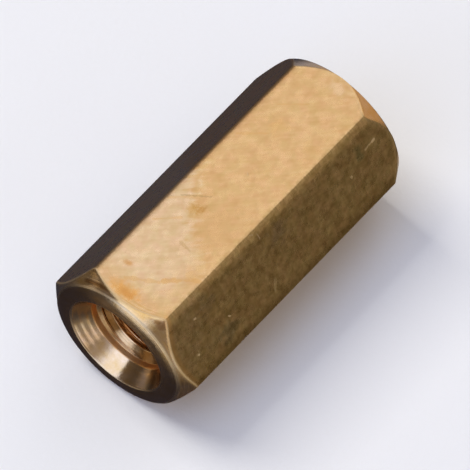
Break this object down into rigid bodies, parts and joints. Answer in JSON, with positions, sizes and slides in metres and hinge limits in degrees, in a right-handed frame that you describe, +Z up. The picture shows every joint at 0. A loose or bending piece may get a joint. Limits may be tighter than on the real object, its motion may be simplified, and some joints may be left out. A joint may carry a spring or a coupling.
{
  "type": "hex standoff",
  "caption": "Brass hexagonal standoff, tapped right through, with countersunk and relieved mouths and the corners chamfered at both ends.",
  "frame": {"origin": "on the bore axis, midway between the two end faces", "axes": "+X along the bore from end A to end B, +Z up, with one flat of the hexagon resting below"},
  "size_m": [0.012, 0.0064, 0.0056],
  "materials": {
    "brass": "plain turned and drawn brass, satin on the flats, brighter on the turned ends, lightly tarnished"
  },
  "bodies": {
    "root": {"standoff_body": "brass"}
  },
  "joints": []
}
